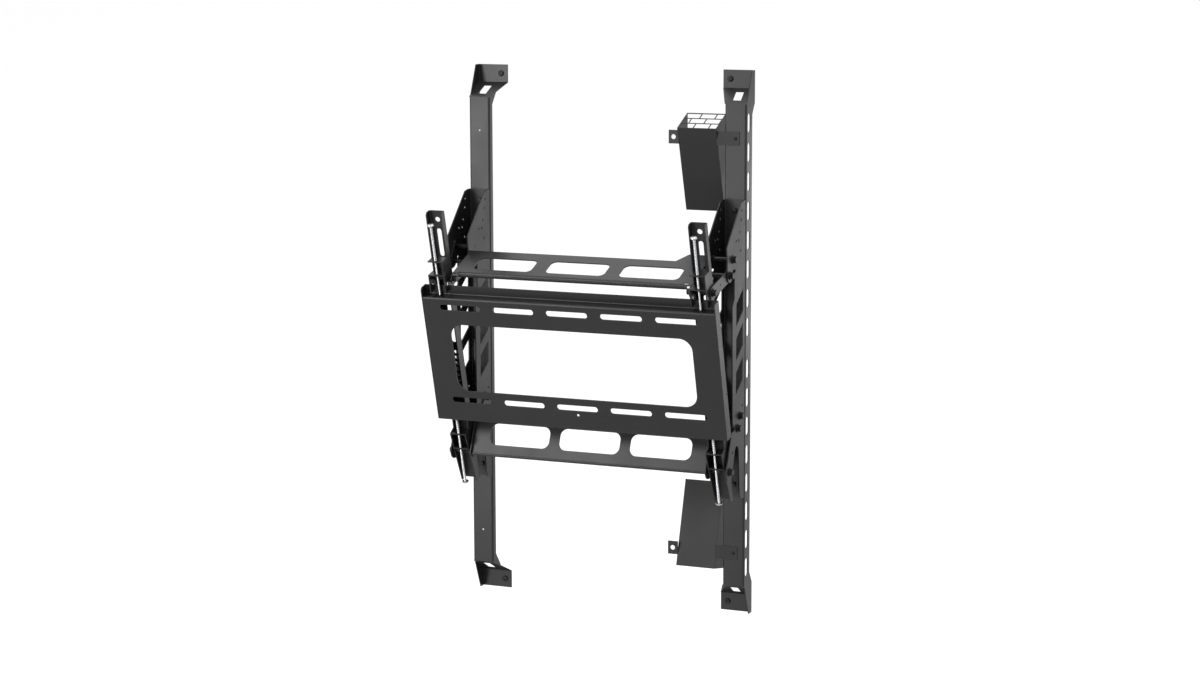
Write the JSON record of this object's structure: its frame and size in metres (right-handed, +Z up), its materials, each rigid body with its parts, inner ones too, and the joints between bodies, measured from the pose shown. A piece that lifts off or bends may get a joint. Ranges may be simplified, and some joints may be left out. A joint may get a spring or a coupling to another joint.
{
  "type": "tilting wall mount",
  "caption": "Wall mount that tilts a large upright display: slotted wall plate, hooked levelling arms, braced tilt brackets, bent rails and wedge-shaped duct covers.",
  "frame": {"origin": "middle of the ten wall slots, on the plate's wall face", "axes": "+X along the wall, +Y from the wall toward the display, +Z up"},
  "size_m": [1.103, 0.6521, 1.8793],
  "materials": {
    "plate_paint": "satin black powder coat",
    "arm_paint": "satin black powder coat",
    "bracket_paint": "satin black powder coat",
    "rail_paint": "satin black powder coat",
    "brace_paint": "satin black powder coat",
    "cover_paint": "matt black powder coat",
    "black_bolt": "black oxide",
    "zinc_screw": "bright zinc plate"
  },
  "bodies": {
    "plate": {"wall_plate": "plate_paint"},
    "arms": {"arm_left": "arm_paint", "arm_right": "arm_paint", "link_bolts": "black_bolt", "link_nuts": "black_bolt", "link_spacers": "black_bolt"},
    "screw_upper_left": {"adjusting_screw_upper_left": "zinc_screw"},
    "screw_upper_right": {"adjusting_screw_upper_right": "zinc_screw"},
    "screw_lower_left": {"adjusting_screw_lower_left": "zinc_screw"},
    "screw_lower_right": {"adjusting_screw_lower_right": "zinc_screw"},
    "strut": {"upper_brace": "brace_paint", "tilt_link_left": "arm_paint", "tilt_link_right": "arm_paint", "strut_nuts": "black_bolt"},
    "display_side": {"ear_bracket_left": "bracket_paint", "ear_bracket_right": "bracket_paint", "rail_left": "rail_paint", "rail_right": "rail_paint", "lower_brace": "brace_paint", "pivot_bolts": "black_bolt", "pivot_nuts": "black_bolt", "pivot_spacers": "black_bolt", "tilt_lock_bolts": "black_bolt", "brace_bolts": "black_bolt", "brace_nuts": "black_bolt", "rail_bolts": "black_bolt", "rail_nuts": "black_bolt", "display_screws": "black_bolt", "upper_duct_cover": "cover_paint", "lower_duct_cover": "cover_paint", "cover_screws": "black_bolt"}
  },
  "joints": [
    {"name": "level_slide", "type": "slide", "parent": "plate", "child": "arms", "axis": [0, 0, 1], "range_m": [-0.006, 0.006]},
    {"name": "screw_upper_left_turn", "type": "hinge", "parent": "plate", "child": "screw_upper_left", "pos_m": [-0.49, 0.026, 0.349], "axis": [0, 0, 1], "range_deg": [-1440, 1440]},
    {"name": "screw_lower_left_turn", "type": "hinge", "parent": "plate", "child": "screw_lower_left", "pos_m": [-0.49, 0.022, -0.394], "axis": [0, 0, 1], "range_deg": [-1440, 1440]},
    {"name": "screw_upper_right_turn", "type": "hinge", "parent": "plate", "child": "screw_upper_right", "pos_m": [0.49, 0.026, 0.349], "axis": [0, 0, 1], "range_deg": [-1440, 1440]},
    {"name": "screw_lower_right_turn", "type": "hinge", "parent": "plate", "child": "screw_lower_right", "pos_m": [0.49, 0.022, -0.394], "axis": [0, 0, 1], "range_deg": [-1440, 1440]},
    {"name": "tilt", "type": "hinge", "parent": "arms", "child": "display_side", "pos_m": [0, 0.046, -0.405], "axis": [1, 0, 0], "range_deg": [0, 10.28]},
    {"name": "strut_swing", "type": "hinge", "parent": "arms", "child": "strut", "pos_m": [0, 0.0605, 0.2657], "axis": [1, 0, 0], "range_deg": [0, 50]}
  ],
  "couplings": [
    {"joint": "screw_upper_left_turn", "follows": "level_slide", "rad_per_m": -4188.8},
    {"joint": "screw_lower_left_turn", "follows": "level_slide", "rad_per_m": -4188.8},
    {"joint": "screw_upper_right_turn", "follows": "level_slide", "rad_per_m": -4188.8},
    {"joint": "screw_lower_right_turn", "follows": "level_slide", "rad_per_m": -4188.8},
    {"joint": "strut_swing", "follows": "tilt", "ratio": 4.86}
  ]
}
